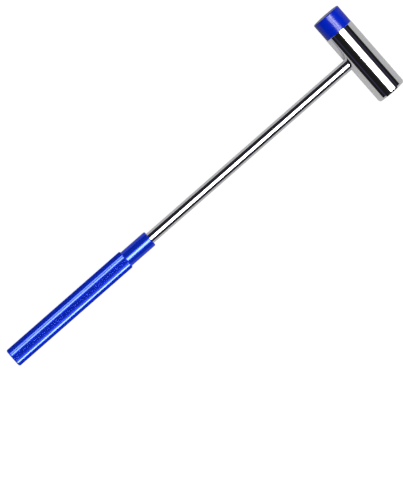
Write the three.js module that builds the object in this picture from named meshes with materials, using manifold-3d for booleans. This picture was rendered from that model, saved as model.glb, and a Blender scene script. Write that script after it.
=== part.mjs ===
// Reflex hammer: a slim steel shaft with a chromed barrel head across one end and a ridged
// handle on the other. One face of the head is bare metal; the other carries a moulded tip
// that unscrews. Millimetres, +Z up, lying on its side.
//
// X runs along the shaft from the butt of the handle to the head, Y along the head from the
// bare face to the moulded tip. The origin is on the surface that the hammer lies on, under
// the middle of its box.
import * as THREE from 'three';
import { mergeVertices } from 'three/addons/utils/BufferGeometryUtils.js';
import Module from 'manifold-3d';

// Head
const BARREL_RADIUS = 8;
const BARREL_LENGTH = 40.5;
const BARE_FACE_TO_SHAFT = 24.6; // bare striking face to the shaft's axis
const BARE_FACE_CHAMFER = 0.7;
const SEAT_CHAMFER = 0.2;        // barrel edge under the tip
const TIP_RADIUS = 7.85;
const TIP_LENGTH = 9.8;
const TIP_FACE_CHAMFER = 0.6;
const TIP_SEAT_CHAMFER = 0.25;

// Shaft and handle
const BUTT_TO_HEAD_AXIS = 230.5;
const SHAFT_RADIUS = 3;
const GRIP_RADIUS = 5.15;
const GRIP_LENGTH = 75.5;
const GRIP_CHAMFER = 0.55;
const NECK_RADIUS = 4.4;
const NECK_LENGTH = 15.7;
const NECK_CHAMFER = 0.7;

// Straight knurls: ridges with plain flanks and narrow flat crests and roots
const GRIP_RIDGES = 28;
const FLANGE_RIDGES = 20;        // around the stud's flange, to hold it in the polymer
const FLANK_SLOPE = Math.PI / 6; // of a flank to the surface
const FLAT_WIDTH = 0.12;         // of each crest and root

// Screwed joints. A thread is a plain cylinder of its outside diameter.
const GAP = 0.3;                 // between pieces that touch or mate
const SHAFT_THREAD_RADIUS = 2.5; // M5, both ends of the shaft
const TIP_THREAD_RADIUS = 3;     // M6, stud and lock screw
const THREAD_CHAMFER = 0.5;
const HEAD_SPIGOT_DEPTH = 2.8;   // full-size shaft let into the side of the barrel
const HEAD_THREAD_LENGTH = 8.5;
const HANDLE_SPIGOT_DEPTH = 14;
const HANDLE_THREAD_LENGTH = 14;
const DRILL_RUNOUT = 0.8;        // each blind hole is this much deeper than its thread
const MOUTH_COUNTERSINK = 0.5;
const STUD_THREAD_LENGTH = 7;
const FLANGE_RADIUS = 4.9;
const FLANGE_THICKNESS = 3;
const FLANGE_COVER = 2;          // polymer between the flange and the tip's seat
const LOCK_SCREW_LENGTH = 4.5;
const LOCK_POINT_RADIUS = 1.5;
const LOCK_SOCKET_ACROSS_FLATS = 3;
const LOCK_SOCKET_DEPTH = 2.4;

const ROUND_SEGMENTS = 64;
const SMALL_SEGMENTS = 32;

const OVERRUN = 1;               // cuts and joined solids run this far past each other's faces
const ENVELOPE_CLEARANCE = 0.01; // keeps the grip's envelope off the crests of its ridges
const MERGE_DISTANCE = 1e-5;     // vertices closer than this are one

// Where things lie. The head's pieces are measured along Y from the shaft's axis, and the
// shaft's and handle's pieces along X from the butt.
const SEAT_Y = BARREL_LENGTH - BARE_FACE_TO_SHAFT;
const TIP_BACK_Y = SEAT_Y + GAP;
const TIP_FACE_Y = TIP_BACK_Y + TIP_LENGTH;
const HANDLE_LENGTH = GRIP_LENGTH + NECK_LENGTH;
const OVERALL_LENGTH = BUTT_TO_HEAD_AXIS + BARREL_RADIUS;
const BUTT_X = -OVERALL_LENGTH / 2;
const HEAD_X = BUTT_X + BUTT_TO_HEAD_AXIS;
const SHAFT_Y = (BARE_FACE_TO_SHAFT - TIP_FACE_Y) / 2;
const SHAFT_Z = BARREL_RADIUS;

const wasm = await Module();
wasm.setup();

// A closed three.js geometry as a solid that can be joined and cut.
function toSolid(geometry) {
  geometry.deleteAttribute('normal');
  geometry.deleteAttribute('uv');
  const merged = mergeVertices(geometry, MERGE_DISTANCE);
  return new wasm.Manifold(new wasm.Mesh({
    numProp: 3,
    vertProperties: new Float32Array(merged.attributes.position.array),
    triVerts: new Uint32Array(merged.index.array),
  }));
}

function toGeometry(solid) {
  const mesh = solid.getMesh();
  const geometry = new THREE.BufferGeometry();
  geometry.setAttribute('position', new THREE.BufferAttribute(mesh.vertProperties, 3));
  geometry.setIndex(new THREE.BufferAttribute(mesh.triVerts, 1));
  geometry.computeVertexNormals();
  return geometry;
}

// A solid turned about Y from an outline of [radius, y] points that starts and ends on the axis.
function turned(outline, segments = ROUND_SEGMENTS) {
  const points = outline.map(([radius, y]) => new THREE.Vector2(radius, y));
  return toSolid(new THREE.LatheGeometry(points, segments));
}

// A cylinder about Y with a chamfer at each end.
function rod(radius, fromY, toY, lowChamfer = 0, highChamfer = 0, segments = ROUND_SEGMENTS) {
  const outline = [[0, fromY], [radius - lowChamfer, fromY]];
  if (lowChamfer > 0) outline.push([radius, fromY + lowChamfer]);
  if (highChamfer > 0) outline.push([radius, toY - highChamfer]);
  outline.push([radius - highChamfer, toY], [0, toY]);
  return turned(outline, segments);
}

// A straight-sided prism along Y from a list of outline points.
function prism(points, fromY, toY) {
  const geometry = new THREE.ExtrudeGeometry(new THREE.Shape(points), {
    depth: toY - fromY,
    bevelEnabled: false,
  });
  geometry.rotateX(-Math.PI / 2);
  geometry.translate(0, fromY, 0);
  return toSolid(geometry);
}

function polar(radius, angle) {
  return new THREE.Vector2(radius * Math.cos(angle), radius * Math.sin(angle));
}

function hexagon(acrossFlats) {
  const cornerRadius = acrossFlats / Math.sqrt(3);
  return Array.from({ length: 6 }, (_, corner) => polar(cornerRadius, corner * Math.PI / 3));
}

// The outline of a straight-knurled bar: one ridge for each part of the circle.
function knurledOutline(crestRadius, count) {
  const pitch = 2 * Math.PI / count;
  const flat = FLAT_WIDTH / crestRadius;
  const flankWidth = pitch * crestRadius / 2 - FLAT_WIDTH;
  const rootRadius = crestRadius - flankWidth * Math.tan(FLANK_SLOPE);
  const points = [];
  for (let ridge = 0; ridge < count; ridge += 1) {
    const crest = ridge * pitch;
    const root = crest + pitch / 2;
    points.push(
      polar(crestRadius, crest - flat / 2),
      polar(crestRadius, crest + flat / 2),
      polar(rootRadius, root - flat / 2),
      polar(rootRadius, root + flat / 2),
    );
  }
  return points;
}

function piece(name, solid, material) {
  const mesh = new THREE.Mesh(toGeometry(solid), new THREE.MeshStandardMaterial(material));
  mesh.name = name;
  return mesh;
}

// The head's barrel: an axial threaded hole for the tip, and a threaded socket across it for
// the shaft. The two holes meet, so that the lock screw in one bears on the shaft in the other.
function headBarrel() {
  const blank = rod(BARREL_RADIUS, -BARE_FACE_TO_SHAFT, SEAT_Y, BARE_FACE_CHAMFER, SEAT_CHAMFER);
  const tipHoleRadius = TIP_THREAD_RADIUS + GAP;
  const tipHole = turned([
    [0, SHAFT_THREAD_RADIUS],
    [tipHoleRadius, SHAFT_THREAD_RADIUS],
    [tipHoleRadius, SEAT_Y - MOUTH_COUNTERSINK],
    [tipHoleRadius + MOUTH_COUNTERSINK, SEAT_Y],
    [tipHoleRadius + MOUTH_COUNTERSINK, SEAT_Y + OVERRUN],
    [0, SEAT_Y + OVERRUN],
  ], SMALL_SEGMENTS);
  const socketFloor = BARREL_RADIUS - HEAD_SPIGOT_DEPTH;
  const spigotRadius = SHAFT_RADIUS + GAP;
  const threadHoleRadius = SHAFT_THREAD_RADIUS + GAP;
  const socket = turned([
    [0, socketFloor - HEAD_THREAD_LENGTH - DRILL_RUNOUT],
    [threadHoleRadius, socketFloor - HEAD_THREAD_LENGTH - DRILL_RUNOUT],
    [threadHoleRadius, socketFloor],
    [spigotRadius, socketFloor],
    [spigotRadius, BARREL_RADIUS + OVERRUN],
    [0, BARREL_RADIUS + OVERRUN],
  ], SMALL_SEGMENTS).rotate([0, 0, 90]);
  return blank.subtract(tipHole).subtract(socket);
}

// The moulded tip, with the pocket that its stud is moulded into.
function strikingTip() {
  const blank = rod(TIP_RADIUS, TIP_BACK_Y, TIP_FACE_Y, TIP_SEAT_CHAMFER, TIP_FACE_CHAMFER);
  const neckHoleRadius = TIP_THREAD_RADIUS + GAP;
  const flangeFrom = TIP_BACK_Y + FLANGE_COVER - GAP;
  const flangeTo = TIP_BACK_Y + FLANGE_COVER + FLANGE_THICKNESS + GAP;
  const pocket = turned([
    [0, TIP_BACK_Y - OVERRUN],
    [neckHoleRadius, TIP_BACK_Y - OVERRUN],
    [neckHoleRadius, flangeFrom],
    [FLANGE_RADIUS + GAP, flangeFrom],
    [FLANGE_RADIUS + GAP, flangeTo],
    [0, flangeTo],
  ], SMALL_SEGMENTS);
  return blank.subtract(pocket);
}

// The steel stud: a knurled flange that keeps it from turning in the polymer, and the thread
// that screws into the barrel.
function tipStud() {
  const flangeFrom = TIP_BACK_Y + FLANGE_COVER;
  const outline = knurledOutline(FLANGE_RADIUS, FLANGE_RIDGES);
  const flange = prism(outline, flangeFrom, flangeFrom + FLANGE_THICKNESS);
  const threadFrom = SEAT_Y - STUD_THREAD_LENGTH;
  const threadTo = flangeFrom + OVERRUN;
  const thread = rod(TIP_THREAD_RADIUS, threadFrom, threadTo, THREAD_CHAMFER, 0, SMALL_SEGMENTS);
  return flange.add(thread);
}

// The set screw at the bottom of the tip's hole. It bears on the shaft's thread and keeps it
// from working loose.
function shaftLockScrew() {
  const pointY = SHAFT_THREAD_RADIUS + GAP;
  const topY = pointY + LOCK_SCREW_LENGTH;
  const body = turned([
    [0, pointY],
    [LOCK_POINT_RADIUS, pointY],
    [TIP_THREAD_RADIUS, pointY + TIP_THREAD_RADIUS - LOCK_POINT_RADIUS],
    [TIP_THREAD_RADIUS, topY - THREAD_CHAMFER],
    [TIP_THREAD_RADIUS - THREAD_CHAMFER, topY],
    [0, topY],
  ], SMALL_SEGMENTS);
  const hexagonOutline = hexagon(LOCK_SOCKET_ACROSS_FLATS);
  const socket = prism(hexagonOutline, topY - LOCK_SOCKET_DEPTH, topY + OVERRUN);
  return body.subtract(socket);
}

// The shaft: a plain rod, let into the handle and the head, with a turned-down thread at each
// end.
function shaft() {
  const handleShoulder = HANDLE_LENGTH - HANDLE_SPIGOT_DEPTH + GAP;
  const headShoulder = BUTT_TO_HEAD_AXIS - BARREL_RADIUS + HEAD_SPIGOT_DEPTH - GAP;
  const handleEnd = handleShoulder - HANDLE_THREAD_LENGTH;
  const headEnd = headShoulder + HEAD_THREAD_LENGTH;
  return turned([
    [0, handleEnd],
    [SHAFT_THREAD_RADIUS - THREAD_CHAMFER, handleEnd],
    [SHAFT_THREAD_RADIUS, handleEnd + THREAD_CHAMFER],
    [SHAFT_THREAD_RADIUS, handleShoulder],
    [SHAFT_RADIUS, handleShoulder],
    [SHAFT_RADIUS, headShoulder],
    [SHAFT_THREAD_RADIUS, headShoulder],
    [SHAFT_THREAD_RADIUS, headEnd - THREAD_CHAMFER],
    [SHAFT_THREAD_RADIUS - THREAD_CHAMFER, headEnd],
    [0, headEnd],
  ]);
}

// The handle, turned from one bar: a ridged grip, a smooth neck, and a threaded socket.
function handle() {
  const outline = knurledOutline(GRIP_RADIUS, GRIP_RIDGES);
  const ridges = prism(outline, -OVERRUN, GRIP_LENGTH + OVERRUN);
  const envelopeRadius = GRIP_RADIUS + ENVELOPE_CLEARANCE;
  const envelope = rod(envelopeRadius, 0, GRIP_LENGTH, GRIP_CHAMFER, GRIP_CHAMFER);
  const neck = rod(NECK_RADIUS, GRIP_LENGTH - OVERRUN, HANDLE_LENGTH, 0, NECK_CHAMFER);
  const shoulder = HANDLE_LENGTH - HANDLE_SPIGOT_DEPTH;
  const threadHoleRadius = SHAFT_THREAD_RADIUS + GAP;
  const spigotRadius = SHAFT_RADIUS + GAP;
  const socket = turned([
    [0, shoulder - HANDLE_THREAD_LENGTH - DRILL_RUNOUT],
    [threadHoleRadius, shoulder - HANDLE_THREAD_LENGTH - DRILL_RUNOUT],
    [threadHoleRadius, shoulder],
    [spigotRadius, shoulder],
    [spigotRadius, HANDLE_LENGTH + OVERRUN],
    [0, HANDLE_LENGTH + OVERRUN],
  ], SMALL_SEGMENTS);
  return ridges.intersect(envelope).add(neck).subtract(socket);
}

const CHROME = { color: 0xd8dadd, roughness: 0.08, metalness: 1 };
const STEEL = { color: 0xa8aaac, roughness: 0.35, metalness: 1 };
const BLUE_POLYMER = { color: 0x0a2cc8, roughness: 0.35, metalness: 0 };
const BLUE_ANODISED = { color: 0x1a3fc4, roughness: 0.3, metalness: 0.9 };

const head = new THREE.Group();
head.position.set(HEAD_X, SHAFT_Y, SHAFT_Z);
head.add(
  piece('head_barrel', headBarrel(), CHROME),
  piece('striking_tip', strikingTip(), BLUE_POLYMER),
  piece('tip_stud', tipStud(), STEEL),
  piece('shaft_lock_screw', shaftLockScrew(), STEEL),
);

const stick = new THREE.Group();
stick.position.set(BUTT_X, SHAFT_Y, SHAFT_Z);
stick.rotation.z = -Math.PI / 2; // the turning axis, Y, onto the hammer's X
stick.add(
  piece('shaft', shaft(), CHROME),
  piece('handle', handle(), BLUE_ANODISED),
);

const hammer = new THREE.Group();
hammer.add(head, stick);

export default hammer;
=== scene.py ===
"""Reflex hammer: its looks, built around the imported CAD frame. Metres, +Z up.

X runs along the shaft from the butt to the head, Y along the head from the bare face to the
moulded tip. Every piece is turned about one of the hammer's two axes, its "spindle".
"""

import math
from collections import namedtuple

import bmesh
import bpy
import numpy as np
from mathutils import Matrix, Vector


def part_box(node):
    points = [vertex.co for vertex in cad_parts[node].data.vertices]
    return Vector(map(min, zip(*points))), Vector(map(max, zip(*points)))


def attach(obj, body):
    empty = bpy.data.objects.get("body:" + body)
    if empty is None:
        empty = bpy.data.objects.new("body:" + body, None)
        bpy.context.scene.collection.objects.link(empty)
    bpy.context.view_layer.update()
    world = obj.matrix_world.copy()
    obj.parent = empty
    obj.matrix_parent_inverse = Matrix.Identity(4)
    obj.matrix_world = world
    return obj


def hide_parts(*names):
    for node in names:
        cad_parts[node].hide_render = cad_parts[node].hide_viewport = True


MM = 0.001

# Sizes that the frame's boxes don't give
BARE_CHAMFER_LENGTH = 0.9 * MM
BARE_CHAMFER_DEPTH = 0.55 * MM
SEAT_ROUNDING = 0.15 * MM
TIP_FACE_ROUNDING = 0.55 * MM
TIP_SEAT_ROUNDING = 0.25 * MM
TIP_SEAT_GAP = 0.05 * MM         # the tip's back to the barrel, screwed home
GRIP_LENGTH = 75.5 * MM
GRIP_CHAMFER = 0.55 * MM
GRIP_GUARD = 0.1 * MM            # keeps the shading of the chamfers off the ridges
NECK_RADIUS = 4.4 * MM
NECK_ROUNDING = 0.65 * MM
RIDGES = 28
FLANGE_RIDGES = 20
FLANK_SLOPE = math.radians(30)   # of a ridge's flank to the surface
RIDGE_FLAT = 0.01 * MM           # width of each crest and root
RIDGE_ROUNDING = 0.005 * MM
SMALL_ROUNDING = 0.12 * MM       # edges broken by hand

FIT = 0.03 * MM                  # clearance of plain fits
THREAD_CLEARANCE = 0.08 * MM
PITCH_M6 = 1.0 * MM
PITCH_M5 = 0.8 * MM
THREAD_DEPTH = 0.61              # of an outside thread, in pitches
THREAD_ROOT_SHARE = 0.2          # of a pitch, along the flat root
THREAD_FLANK_SHARE = 0.65        # of a pitch, along the two flanks; the rest is the crest
M5_RADIUS = 2.5 * MM
M6_RADIUS = 3 * MM
HANDLE_SPIGOT_DEPTH = 14 * MM
HANDLE_THREAD_LENGTH = 14 * MM
HEAD_SPIGOT_DEPTH = 2.8 * MM
HEAD_THREAD_LENGTH = 8.5 * MM
DRILL_RUNOUT = 0.8 * MM
MOUTH_COUNTERSINK = 0.5 * MM
FLANGE_RADIUS = 4.9 * MM
FLANGE_THICKNESS = 3 * MM
LOCK_POINT_RADIUS = 1.5 * MM
LOCK_SOCKET_ACROSS_FLATS = 3 * MM
LOCK_SOCKET_DEPTH = 2.4 * MM
OVERRUN = 1 * MM                 # a cutter stands this far past the face that it opens

# How finely things are turned
ROUND_COLUMNS = 192
THREAD_COLUMNS = 72
SHAFT_COLUMNS = 144
ARC_STEPS = 5
ARC_GUARD = 0.15                 # a guard point's distance from its arc, as a share of the arc's reach
RIDGE_ARC_STEPS = 3
RIDGE_GUARD = 0.5                # so that the flanks shade flat right to their roundings
CHAMFER_RINGS = 9
THREAD_RINGS_PER_PITCH = 14
SHARP_ANGLE = math.radians(32)
ROUND_TOLERANCE = 0.003 * MM     # within which a point counts as lying on a cylinder

# The camera looks nearly straight down, from far away
CAMERA_DISTANCE = 6.0
VIEW_LENGTH = 0.24397            # seen along the picture's long side
SENSOR_MM = 36.0                 # the camera's own units are millimetres
NEAREST_SEEN = 0.1
FARTHEST_SEEN = 50.0
CAMERA_TILT = math.radians(4)    # toward the moulded tip
SHAFT_SLANT = math.radians(41.23)
AIM_RIGHT = 7.64 * MM            # from the middle of the handle-to-head line
AIM_UP = -18.7 * MM

# Two soft lights above, side by side, in a dark room with pale walls near the floor. A light's
# place and spread are tangents of the angle from straight up. An edge over 1 makes its top
# flatter and its edge crisper.
SoftLight = namedtuple("SoftLight", "place spread peak edge")
LIGHTS = (
    SoftLight(place=(0.34, -0.07), spread=(0.22, 0.25), peak=24.0, edge=1.0),
    SoftLight(place=(0.00, -0.20), spread=(0.075, 0.27), peak=24.0, edge=1.5),
)
ROOM_DIM = 0.012
SHEEN_HEIGHT = 0.545             # sine of the height of a faint blue reflection in the room
SHEEN_SPREAD = 0.06
SHEEN_COLOUR = (0.03, 0.025, 0.075)
WALL_TOP = 0.12                  # sines of the height where the pale walls fade out
WALL_FULL = 0.07
WALL_GLOW = 0.5
FLOOR_SIZE = 30.0
FLOOR_GREY = 0.2
FLOOR_GLOW = 0.22
FLOOR_SEEN_GREY = 0.06           # the floor as the camera sees it: white, with a trace of shadow
FLOOR_SEEN_GLOW = 0.97

ALONG_X = Vector((1, 0, 0))
ALONG_Y = Vector((0, 1, 0))
UP = Vector((0, 0, 1))

Spindle = namedtuple("Spindle", "origin axis across up")


# ---------------------------------------------------------------- outlines

def with_arcs(corners, steps=ARC_STEPS, guard=ARC_GUARD):
    """The outline through corners (radius, along, rounding), each rounded corner as an arc.
    A guard point lies just outside each end of an arc, so that shading stays flat beyond it."""
    points = []
    for index, (radius, along, rounding) in enumerate(corners):
        corner = Vector((radius, along))
        if rounding == 0 or index in (0, len(corners) - 1):
            points.append(corner)
            continue
        before = (Vector(corners[index - 1][:2]) - corner).normalized()
        after = (Vector(corners[index + 1][:2]) - corner).normalized()
        half_angle = before.angle(after) / 2
        reach = rounding / math.tan(half_angle)
        centre = corner + (before + after).normalized() * rounding / math.sin(half_angle)
        start = corner + before * reach - centre
        end = corner + after * reach - centre
        sweep = start.angle(end)
        points.append(corner + before * reach * (1 + guard))
        for step in range(steps + 1):
            share = step / steps
            blend = start * math.sin((1 - share) * sweep) + end * math.sin(share * sweep)
            points.append(centre + blend / math.sin(sweep))
        points.append(corner + after * reach * (1 + guard))
    return [tuple(point) for point in points]


def plain_rings(outline, columns):
    """Round rings, one for each (radius, along) of the outline."""
    return [np.tile(point, (columns, 1)) for point in outline]


def even_turns(columns):
    return np.linspace(0, 2 * math.pi, columns, endpoint=False)


def ridge_section(radius, ridges):
    """The turn and the depth below the crest of each point round a straight knurl."""
    half_pitch = math.pi * radius / ridges
    flat = RIDGE_FLAT / 2
    depth = (half_pitch - 2 * flat) * math.tan(FLANK_SLOPE)
    corners = [
        (0, 0, 0),
        (flat, 0, RIDGE_ROUNDING),
        (half_pitch - flat, depth, RIDGE_ROUNDING),
        (half_pitch, depth, 0),
    ]
    half = np.array(with_arcs(corners, RIDGE_ARC_STEPS, RIDGE_GUARD))
    other_half = half[-2:0:-1] * (-1, 1) + (2 * half_pitch, 0)
    ridge = np.vstack([half, other_half])
    turns = [ridge[:, 0] / radius + 2 * math.pi * index / ridges for index in range(ridges)]
    return np.concatenate(turns), np.tile(ridge[:, 1], ridges)


def ring_at(radii, along):
    return np.column_stack([radii, np.full(len(radii), along)])


def thread_rings(turns, start, end, crest, root, pitch, lead_in):
    """A right-hand thread as rings. It fades to its root over lead_in at both ends."""
    low, high = min(start, end), max(start, end)
    count = max(2, round((high - low) / pitch * THREAD_RINGS_PER_PITCH))
    rings = []
    for along in np.linspace(start, end, count + 1):
        phase = (along / pitch - turns / (2 * math.pi)) % 1
        from_root = np.abs(2 * phase - 1)
        height = np.clip((from_root - THREAD_ROOT_SHARE) / THREAD_FLANK_SHARE, 0, 1)
        fade = min(1, (along - low) / lead_in, (high - along) / lead_in)
        rings.append(ring_at(root + (crest - root) * np.minimum(height, max(fade, 0)), along))
    return rings


def hexagon_radii(turns, across_flats):
    side = math.pi / 3
    return across_flats / 2 / np.cos(turns % side - side / 2)


# ---------------------------------------------------------------- meshes

def turned(name, rings, turns, spindle):
    """A closed object from rings of (radius, along) about a spindle, from pole to pole."""
    mesh = bmesh.new()

    def vertex(radius, along, turn):
        side = spindle.across * math.cos(turn) + spindle.up * math.sin(turn)
        return mesh.verts.new(spindle.origin + spindle.axis * along + side * radius)

    first = vertex(0, rings[0][0][1], 0)
    last = vertex(0, rings[-1][0][1], 0)
    rows = [[vertex(*point, turn) for point, turn in zip(ring, turns)] for ring in rings[1:-1]]
    columns = len(turns)
    for column in range(columns):
        beside = (column + 1) % columns
        mesh.faces.new((first, rows[0][beside], rows[0][column]))
        mesh.faces.new((last, rows[-1][column], rows[-1][beside]))
        for row, above in zip(rows, rows[1:]):
            mesh.faces.new((row[column], row[beside], above[beside], above[column]))
    bmesh.ops.recalc_face_normals(mesh, faces=mesh.faces)
    data = bpy.data.meshes.new(name)
    mesh.to_mesh(data)
    mesh.free()
    item = bpy.data.objects.new(name, data)
    bpy.context.scene.collection.objects.link(item)
    smooth(data)
    return item


def smooth(data):
    data.shade_smooth()
    data.set_sharp_from_angle(angle=SHARP_ANGLE)


def cut(item, cutter):
    """Cuts one object with another, which is then removed."""
    modifier = item.modifiers.new("cut", "BOOLEAN")
    modifier.operation = "DIFFERENCE"
    modifier.solver = "EXACT"
    modifier.object = cutter
    depsgraph = bpy.context.evaluated_depsgraph_get()
    result = bpy.data.meshes.new_from_object(item.evaluated_get(depsgraph))
    item.modifiers.clear()
    item.data = result
    item.data.name = item.name
    bpy.data.objects.remove(cutter)
    smooth(result)


def true_round_shading(item, spindle, radius):
    """Gives the faces on a plain cylinder its exact normals, so that a cut leaves no mark."""
    data = item.data
    normals = [Vector(corner.vector) for corner in data.corner_normals]
    for face in data.polygons:
        offsets = []
        for index in face.vertices:
            offset = data.vertices[index].co - spindle.origin
            offsets.append(offset - spindle.axis * offset.dot(spindle.axis))
        if all(abs(offset.length - radius) < ROUND_TOLERANCE for offset in offsets):
            for loop, offset in zip(face.loop_indices, offsets):
                normals[loop] = offset.normalized()
    data.normals_split_custom_set(normals)


# ---------------------------------------------------------------- materials

def set_range(node, *limits):
    """Sets a Map Range node's limits: from low, from high, to low, to high."""
    for key, limit in zip(("From Min", "From Max", "To Min", "To Max"), limits):
        node.inputs[key].default_value = limit


class Surface:
    """A node material with one Principled shader, and the few nodes that vary it."""

    def __init__(self, name, **inputs):
        self.material = bpy.data.materials.new(name)
        self.material.use_nodes = True
        self.tree = self.material.node_tree
        self.shader = self.tree.nodes["Principled BSDF"]
        for key, value in inputs.items():
            self.shader.inputs[key.replace("_", " ")].default_value = value
        self.place = self.node("ShaderNodeTexCoord").outputs["Object"]

    def node(self, kind, **settings):
        made = self.tree.nodes.new(kind)
        for key, value in settings.items():
            setattr(made, key, value)
        return made

    def join(self, source, target):
        self.tree.links.new(source, target)

    def noise(self, scale, detail, stretch=(1, 1, 1)):
        mapping = self.node("ShaderNodeMapping")
        mapping.inputs["Scale"].default_value = stretch
        self.join(self.place, mapping.inputs["Vector"])
        made = self.node("ShaderNodeTexNoise")
        made.inputs["Scale"].default_value = scale
        made.inputs["Detail"].default_value = detail
        self.join(mapping.outputs[0], made.inputs["Vector"])
        return made.outputs["Fac"]

    def between(self, value, low, high, dark=0.3, bright=0.7):
        """The value's range dark..bright, spread over low..high."""
        made = self.node("ShaderNodeMapRange")
        self.join(value, made.inputs["Value"])
        set_range(made, dark, bright, low, high)
        return made.outputs[0]

    def colours(self, value, first, second):
        made = self.node("ShaderNodeMix", data_type="RGBA")
        self.join(value, made.inputs["Factor"])
        made.inputs["A"].default_value = (*first, 1)
        made.inputs["B"].default_value = (*second, 1)
        return made.outputs["Result"]

    def bump(self, height, distance):
        made = self.node("ShaderNodeBump")
        made.inputs["Strength"].default_value = 1
        made.inputs["Distance"].default_value = distance
        self.join(height, made.inputs["Height"])
        self.join(made.outputs[0], self.shader.inputs["Normal"])

    def set(self, key, source):
        self.join(source, self.shader.inputs[key])


def chrome():
    """Bright plating with faint clouds and smudges."""
    surface = Surface("chromed_steel", Metallic=1.0)
    cloud = surface.noise(scale=90, detail=2)
    smudge = surface.noise(scale=260, detail=5)
    surface.set("Base Color", surface.colours(cloud, (0.83, 0.84, 0.85), (0.88, 0.88, 0.89)))
    surface.set("Roughness", surface.between(smudge, low=0.035, high=0.075))
    surface.bump(surface.noise(scale=2500, detail=2), 0.0004 * MM)
    return surface.material


def machined_steel():
    """Unplated steel with fine turning marks."""
    surface = Surface("plain_steel", Metallic=1.0)
    cloud = surface.noise(scale=400, detail=4)
    surface.set("Base Color", surface.colours(cloud, (0.42, 0.42, 0.43), (0.6, 0.6, 0.61)))
    surface.set("Roughness", surface.between(cloud, low=0.24, high=0.4))
    surface.bump(surface.noise(scale=5000, detail=2, stretch=(1, 8, 1)), 0.004 * MM)
    return surface.material


def blue_polymer():
    """Moulded plastic with a satin gloss and slightly clouded colour."""
    surface = Surface("blue_polymer", IOR=1.5, Specular_IOR_Level=0.27)
    cloud = surface.noise(scale=220, detail=4)
    surface.set("Base Color", surface.colours(cloud, (0.0002, 0.011, 0.36), (0.0004, 0.017, 0.44)))
    grain = surface.noise(scale=900, detail=3)
    surface.set("Roughness", surface.between(grain, low=0.19, high=0.24))
    surface.bump(surface.noise(scale=2200, detail=3), 0.0005 * MM)
    return surface.material


def blue_anodised():
    """Dyed bright metal: most of its reflections take the dye's colour."""
    surface = Surface("blue_anodised", Metallic=0.6, Specular_IOR_Level=0.9)
    streaks = surface.noise(scale=700, detail=4, stretch=(0.06, 1, 1))
    cloud = surface.noise(scale=120, detail=3)
    surface.set("Base Color", surface.colours(cloud, (0.004, 0.033, 0.68), (0.006, 0.046, 0.84)))
    surface.set("Roughness", surface.between(streaks, low=0.14, high=0.18))
    surface.bump(streaks, 0.0003 * MM)
    return surface.material


def floor_white():
    white = (1, 1, 1, 1)
    surface = Surface("floor_white", Roughness=0.9, Specular_IOR_Level=0, Emission_Color=white)
    seen = surface.node("ShaderNodeLightPath").outputs["Is Camera Ray"]
    grey = (FLOOR_GREY,) * 3
    surface.set("Base Color", surface.colours(seen, grey, (FLOOR_SEEN_GREY,) * 3))
    surface.set("Emission Strength", surface.between(seen, FLOOR_GLOW, FLOOR_SEEN_GLOW, 0, 1))
    return surface.material


# ---------------------------------------------------------------- pieces

def finished(item, node, body, material):
    """Puts a piece in its CAD node's place, on its body and in its material."""
    item.data.materials.clear()
    item.data.materials.append(material)
    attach(item, body)
    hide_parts(node)


def spigot_radius(stick):
    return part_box("shaft")[1].y - stick.origin.y + FIT


def shaft_socket(stick):
    """What the shaft's end fills in the side of the barrel, as a cutter along the shaft."""
    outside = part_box("head_barrel")[0].x
    face = outside + HEAD_SPIGOT_DEPTH
    spigot = spigot_radius(stick)
    outline = [
        (0, outside - OVERRUN),
        (spigot, outside - OVERRUN),
        (spigot, face),
        (M5_RADIUS + THREAD_CLEARANCE, face),
        (M5_RADIUS + THREAD_CLEARANCE, face + HEAD_THREAD_LENGTH + DRILL_RUNOUT),
        (0, face + HEAD_THREAD_LENGTH + DRILL_RUNOUT),
    ]
    turns = even_turns(THREAD_COLUMNS)
    return turned("shaft_socket_cutter", plain_rings(outline, THREAD_COLUMNS), turns, stick)


def head_barrel(head, stick, material):
    low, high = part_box("head_barrel")
    radius = (high.x - low.x) / 2
    turns = even_turns(ROUND_COLUMNS)
    crest = M6_RADIUS + THREAD_CLEARANCE
    root = crest + THREAD_DEPTH * PITCH_M6
    floor = stick.origin.y + M5_RADIUS
    mouth = high.y - MOUTH_COUNTERSINK
    outside = with_arcs([
        (0, low.y, 0),
        (radius - BARE_CHAMFER_DEPTH, low.y, SEAT_ROUNDING / 2),
        (radius, low.y + BARE_CHAMFER_LENGTH, SEAT_ROUNDING / 2),
        (radius, high.y, SEAT_ROUNDING),
        (root + MOUTH_COUNTERSINK, high.y, SMALL_ROUNDING),
        (root, mouth, 0),
    ])
    rings = plain_rings(outside, ROUND_COLUMNS)
    rings += thread_rings(turns, mouth, floor, crest, root, PITCH_M6, PITCH_M6)
    rings += plain_rings([(0, floor)], ROUND_COLUMNS)
    item = turned("head_barrel", rings, turns, head)
    cut(item, shaft_socket(stick))
    true_round_shading(item, head, radius)
    finished(item, "head_barrel", "hammer", material)


def striking_tip(head, material):
    low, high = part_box("striking_tip")
    flange_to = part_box("tip_stud")[1].y
    flange_from = flange_to - FLANGE_THICKNESS
    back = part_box("head_barrel")[1].y + TIP_SEAT_GAP
    radius = (high.x - low.x) / 2
    pocket = FLANGE_RADIUS + THREAD_CLEARANCE
    hole = M6_RADIUS + THREAD_CLEARANCE
    outline = with_arcs([
        (0, flange_to + FIT, 0),
        (pocket, flange_to + FIT, SMALL_ROUNDING),
        (pocket, flange_from - FIT, SMALL_ROUNDING),
        (hole, flange_from - FIT, SMALL_ROUNDING),
        (hole, back, SMALL_ROUNDING),
        (radius, back, TIP_SEAT_ROUNDING),
        (radius, high.y, TIP_FACE_ROUNDING),
        (0, high.y, 0),
    ])
    rings = plain_rings(outline, ROUND_COLUMNS)
    item = turned("striking_tip", rings, even_turns(ROUND_COLUMNS), head)
    finished(item, "striking_tip", "tip", material)


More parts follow.
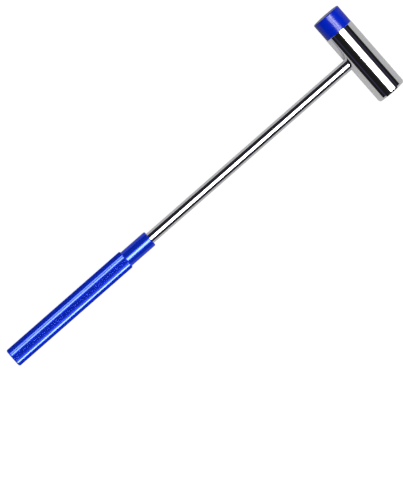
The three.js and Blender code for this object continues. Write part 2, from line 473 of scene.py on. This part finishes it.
def tip_stud(head, material):
    low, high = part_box("tip_stud")
    flange_from = high.y - FLANGE_THICKNESS
    turns, depths = ridge_section(FLANGE_RADIUS, FLANGE_RIDGES)
    root = M6_RADIUS - THREAD_DEPTH * PITCH_M6
    crests = FLANGE_RADIUS - depths
    rings = plain_rings([(0, low.y), (root, low.y)], len(turns))
    rings += thread_rings(turns, low.y, flange_from, M6_RADIUS, root, PITCH_M6, PITCH_M6 / 2)
    rings += [
        ring_at(crests - SMALL_ROUNDING, flange_from),
        ring_at(crests, flange_from + SMALL_ROUNDING),
        ring_at(crests, high.y - SMALL_ROUNDING),
        ring_at(crests - SMALL_ROUNDING, high.y),
    ]
    rings += plain_rings([(0, high.y)], len(turns))
    item = turned("tip_stud", rings, turns, head)
    finished(item, "tip_stud", "stud", material)


def shaft_lock_screw(head, material):
    low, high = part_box("shaft_lock_screw")
    turns = even_turns(THREAD_COLUMNS)
    root = M6_RADIUS - THREAD_DEPTH * PITCH_M6
    socket = hexagon_radii(turns, LOCK_SOCKET_ACROSS_FLATS)
    socket_floor = high.y - LOCK_SOCKET_DEPTH
    start = low.y + M6_RADIUS - LOCK_POINT_RADIUS
    point = [(0, low.y), (LOCK_POINT_RADIUS, low.y), (root, start - (M6_RADIUS - root))]
    rings = plain_rings(point, THREAD_COLUMNS)
    rings += thread_rings(turns, start, high.y, M6_RADIUS, root, PITCH_M6, PITCH_M6 / 2)
    rings += [ring_at(socket, high.y), ring_at(socket, socket_floor)]
    rings += plain_rings([(0, socket_floor)], THREAD_COLUMNS)
    item = turned("shaft_lock_screw", rings, turns, head)
    finished(item, "shaft_lock_screw", "hammer", material)


def shaft(stick, material):
    low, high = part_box("shaft")
    radius = (high.y - low.y) / 2
    root = M5_RADIUS - THREAD_DEPTH * PITCH_M5
    turns = even_turns(SHAFT_COLUMNS)
    shoulders = low.x + HANDLE_THREAD_LENGTH, high.x - HEAD_THREAD_LENGTH
    middle = with_arcs([
        (root, shoulders[0], 0),
        (radius, shoulders[0], SMALL_ROUNDING),
        (radius, shoulders[1], SMALL_ROUNDING),
        (root, shoulders[1], 0),
    ])
    rings = plain_rings([(0, low.x)], SHAFT_COLUMNS)
    rings += thread_rings(turns, low.x, shoulders[0], M5_RADIUS, root, PITCH_M5, PITCH_M5 / 2)
    rings += plain_rings(middle[1:-1], SHAFT_COLUMNS)
    rings += thread_rings(turns, shoulders[1], high.x, M5_RADIUS, root, PITCH_M5, PITCH_M5 / 2)
    rings += plain_rings([(0, high.x)], SHAFT_COLUMNS)
    item = turned("shaft", rings, turns, stick)
    finished(item, "shaft", "hammer", material)


def handle(stick, material):
    low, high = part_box("handle")
    radius = (high.z - low.z) / 2
    grip_end = low.x + GRIP_LENGTH
    turns, depths = ridge_section(radius, RIDGES)
    columns = len(turns)

    def ridged(limit, along):
        return ring_at(np.minimum(radius - depths, limit), along)

    rings = plain_rings([(0, low.x)], columns)
    rings += plain_rings([(radius - GRIP_CHAMFER - SMALL_ROUNDING, low.x)], columns)
    steps = np.linspace(0, GRIP_CHAMFER, CHAMFER_RINGS)
    rings += [ridged(radius - GRIP_CHAMFER + step, low.x + step) for step in steps]
    straight_from, straight_to = low.x + GRIP_CHAMFER, grip_end - GRIP_CHAMFER
    rings += [ridged(radius, straight_from + GRIP_GUARD), ridged(radius, straight_to - GRIP_GUARD)]
    rings += [ridged(radius - step, straight_to + step) for step in steps]
    spigot = spigot_radius(stick)
    shoulder = high.x - HANDLE_SPIGOT_DEPTH
    thread_hole = M5_RADIUS + THREAD_CLEARANCE
    bottom = shoulder - HANDLE_THREAD_LENGTH - DRILL_RUNOUT
    neck = with_arcs([
        (NECK_RADIUS + SMALL_ROUNDING, grip_end, 0),
        (NECK_RADIUS, grip_end, SMALL_ROUNDING),
        (NECK_RADIUS, high.x, NECK_ROUNDING),
        (spigot, high.x, SMALL_ROUNDING),
        (spigot, shoulder, 0),
        (thread_hole, shoulder, 0),
        (thread_hole, bottom, 0),
        (0, bottom, 0),
    ])
    rings += plain_rings(neck[1:], columns)
    item = turned("handle", rings, turns, stick)
    finished(item, "handle", "hammer", material)


# ---------------------------------------------------------------- studio

def camera(head, stick):
    """Looks down on the hammer, with the shaft slanting across the picture."""
    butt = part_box("handle")[0].x
    back = Vector((0, math.sin(CAMERA_TILT), math.cos(CAMERA_TILT)))
    along_head = Vector((0, math.cos(CAMERA_TILT), -math.sin(CAMERA_TILT)))
    right = ALONG_X * math.cos(SHAFT_SLANT) - along_head * math.sin(SHAFT_SLANT)
    up = ALONG_X * math.sin(SHAFT_SLANT) + along_head * math.cos(SHAFT_SLANT)
    middle = Vector(((butt + head.origin.x) / 2, stick.origin.y, stick.origin.z))
    aim = middle + right * AIM_RIGHT + up * AIM_UP
    data = bpy.data.cameras.new("camera")
    data.sensor_width = SENSOR_MM
    data.lens = SENSOR_MM * CAMERA_DISTANCE / VIEW_LENGTH
    data.clip_start = NEAREST_SEEN
    data.clip_end = FARTHEST_SEEN
    item = bpy.data.objects.new("camera", data)
    bpy.context.scene.collection.objects.link(item)
    columns = Matrix((right, up, back)).transposed()
    item.matrix_world = Matrix.Translation(aim + back * CAMERA_DISTANCE) @ columns.to_4x4()
    bpy.context.scene.camera = item


def light():
    """The two soft lights, the faint sheen and the pale walls, before a plain white backdrop."""
    world = bpy.data.worlds.new("studio")
    bpy.context.scene.world = world
    world.use_nodes = True
    tree = world.node_tree
    tree.nodes.clear()
    link = tree.links.new
    node = tree.nodes.new

    def arithmetic(operation, *values):
        made = node("ShaderNodeMath")
        made.operation = operation
        for socket, value in zip(made.inputs, values):
            if isinstance(value, bpy.types.NodeSocket):
                link(value, socket)
            else:
                socket.default_value = value
        return made.outputs[0]

    def bell(*distances, edge=1.0):
        """1 where every distance is 0, falling smoothly to 0."""
        total = 0.0
        for distance in distances:
            total = arithmetic("ADD", arithmetic("MULTIPLY", distance, distance), total)
        return arithmetic("EXPONENT", arithmetic("MULTIPLY", arithmetic("POWER", total, edge), -1))

    def distance(value, place, spread):
        return arithmetic("DIVIDE", arithmetic("SUBTRACT", value, place), spread)

    def glow(strength, colour=(1, 1, 1)):
        made = node("ShaderNodeBackground")
        made.inputs["Color"].default_value = (*colour, 1)
        if isinstance(strength, bpy.types.NodeSocket):
            link(strength, made.inputs["Strength"])
        else:
            made.inputs["Strength"].default_value = strength
        return made.outputs[0]

    direction = node("ShaderNodeSeparateXYZ")
    link(node("ShaderNodeTexCoord").outputs["Generated"], direction.inputs[0])
    height = direction.outputs["Z"]
    above = arithmetic("MAXIMUM", height, WALL_FULL)
    tangents = [arithmetic("DIVIDE", direction.outputs[axis], above) for axis in "XY"]
    strength = ROOM_DIM
    for soft in LIGHTS:
        fall = bell(*map(distance, tangents, soft.place, soft.spread), edge=soft.edge)
        strength = arithmetic("ADD", arithmetic("MULTIPLY", fall, soft.peak), strength)
    wall = node("ShaderNodeMapRange")
    link(height, wall.inputs["Value"])
    set_range(wall, WALL_FULL, WALL_TOP, WALL_GLOW, 0)
    strength = arithmetic("ADD", strength, wall.outputs[0])
    sheen = bell(distance(height, SHEEN_HEIGHT, SHEEN_SPREAD))
    room = node("ShaderNodeAddShader")
    link(glow(strength), room.inputs[0])
    link(glow(sheen, SHEEN_COLOUR), room.inputs[1])
    chosen = node("ShaderNodeMixShader")
    link(node("ShaderNodeLightPath").outputs["Is Camera Ray"], chosen.inputs[0])
    link(room.outputs[0], chosen.inputs[1])
    link(glow(1.0), chosen.inputs[2])
    link(chosen.outputs[0], node("ShaderNodeOutputWorld").inputs["Surface"])


def floor():
    half = FLOOR_SIZE / 2
    mesh = bmesh.new()
    corners = [(-half, -half, 0), (half, -half, 0), (half, half, 0), (-half, half, 0)]
    mesh.faces.new([mesh.verts.new(corner) for corner in corners])
    data = bpy.data.meshes.new("floor")
    mesh.to_mesh(data)
    mesh.free()
    data.materials.append(floor_white())
    item = bpy.data.objects.new("floor", data)
    bpy.context.scene.collection.objects.link(item)


def spindles():
    """The head's axis and the shaft's, from the middles of the frame's boxes."""
    barrel_low, barrel_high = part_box("head_barrel")
    shaft_low, shaft_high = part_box("shaft")
    head_x = (barrel_low.x + barrel_high.x) / 2
    shaft_y = (shaft_low.y + shaft_high.y) / 2
    shaft_z = (shaft_low.z + shaft_high.z) / 2
    head = Spindle(origin=Vector((head_x, 0, shaft_z)), axis=ALONG_Y, across=UP, up=ALONG_X)
    stick = Spindle(origin=Vector((0, shaft_y, shaft_z)), axis=ALONG_X, across=ALONG_Y, up=UP)
    return head, stick


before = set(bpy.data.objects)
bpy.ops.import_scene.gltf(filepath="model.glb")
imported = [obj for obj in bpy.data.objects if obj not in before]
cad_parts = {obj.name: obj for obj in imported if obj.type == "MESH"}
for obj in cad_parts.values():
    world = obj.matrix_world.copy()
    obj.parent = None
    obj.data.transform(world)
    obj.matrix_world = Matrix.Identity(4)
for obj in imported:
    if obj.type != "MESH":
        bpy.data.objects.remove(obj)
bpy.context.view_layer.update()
head_spindle, stick_spindle = spindles()
camera(head_spindle, stick_spindle)
light()
floor()

chromed = chrome()
steel = machined_steel()
head_barrel(head_spindle, stick_spindle, chromed)
striking_tip(head_spindle, blue_polymer())
tip_stud(head_spindle, steel)
shaft_lock_screw(head_spindle, steel)
shaft(stick_spindle, chromed)
handle(stick_spindle, blue_anodised())

bpy.context.scene.view_settings.view_transform = "Standard"
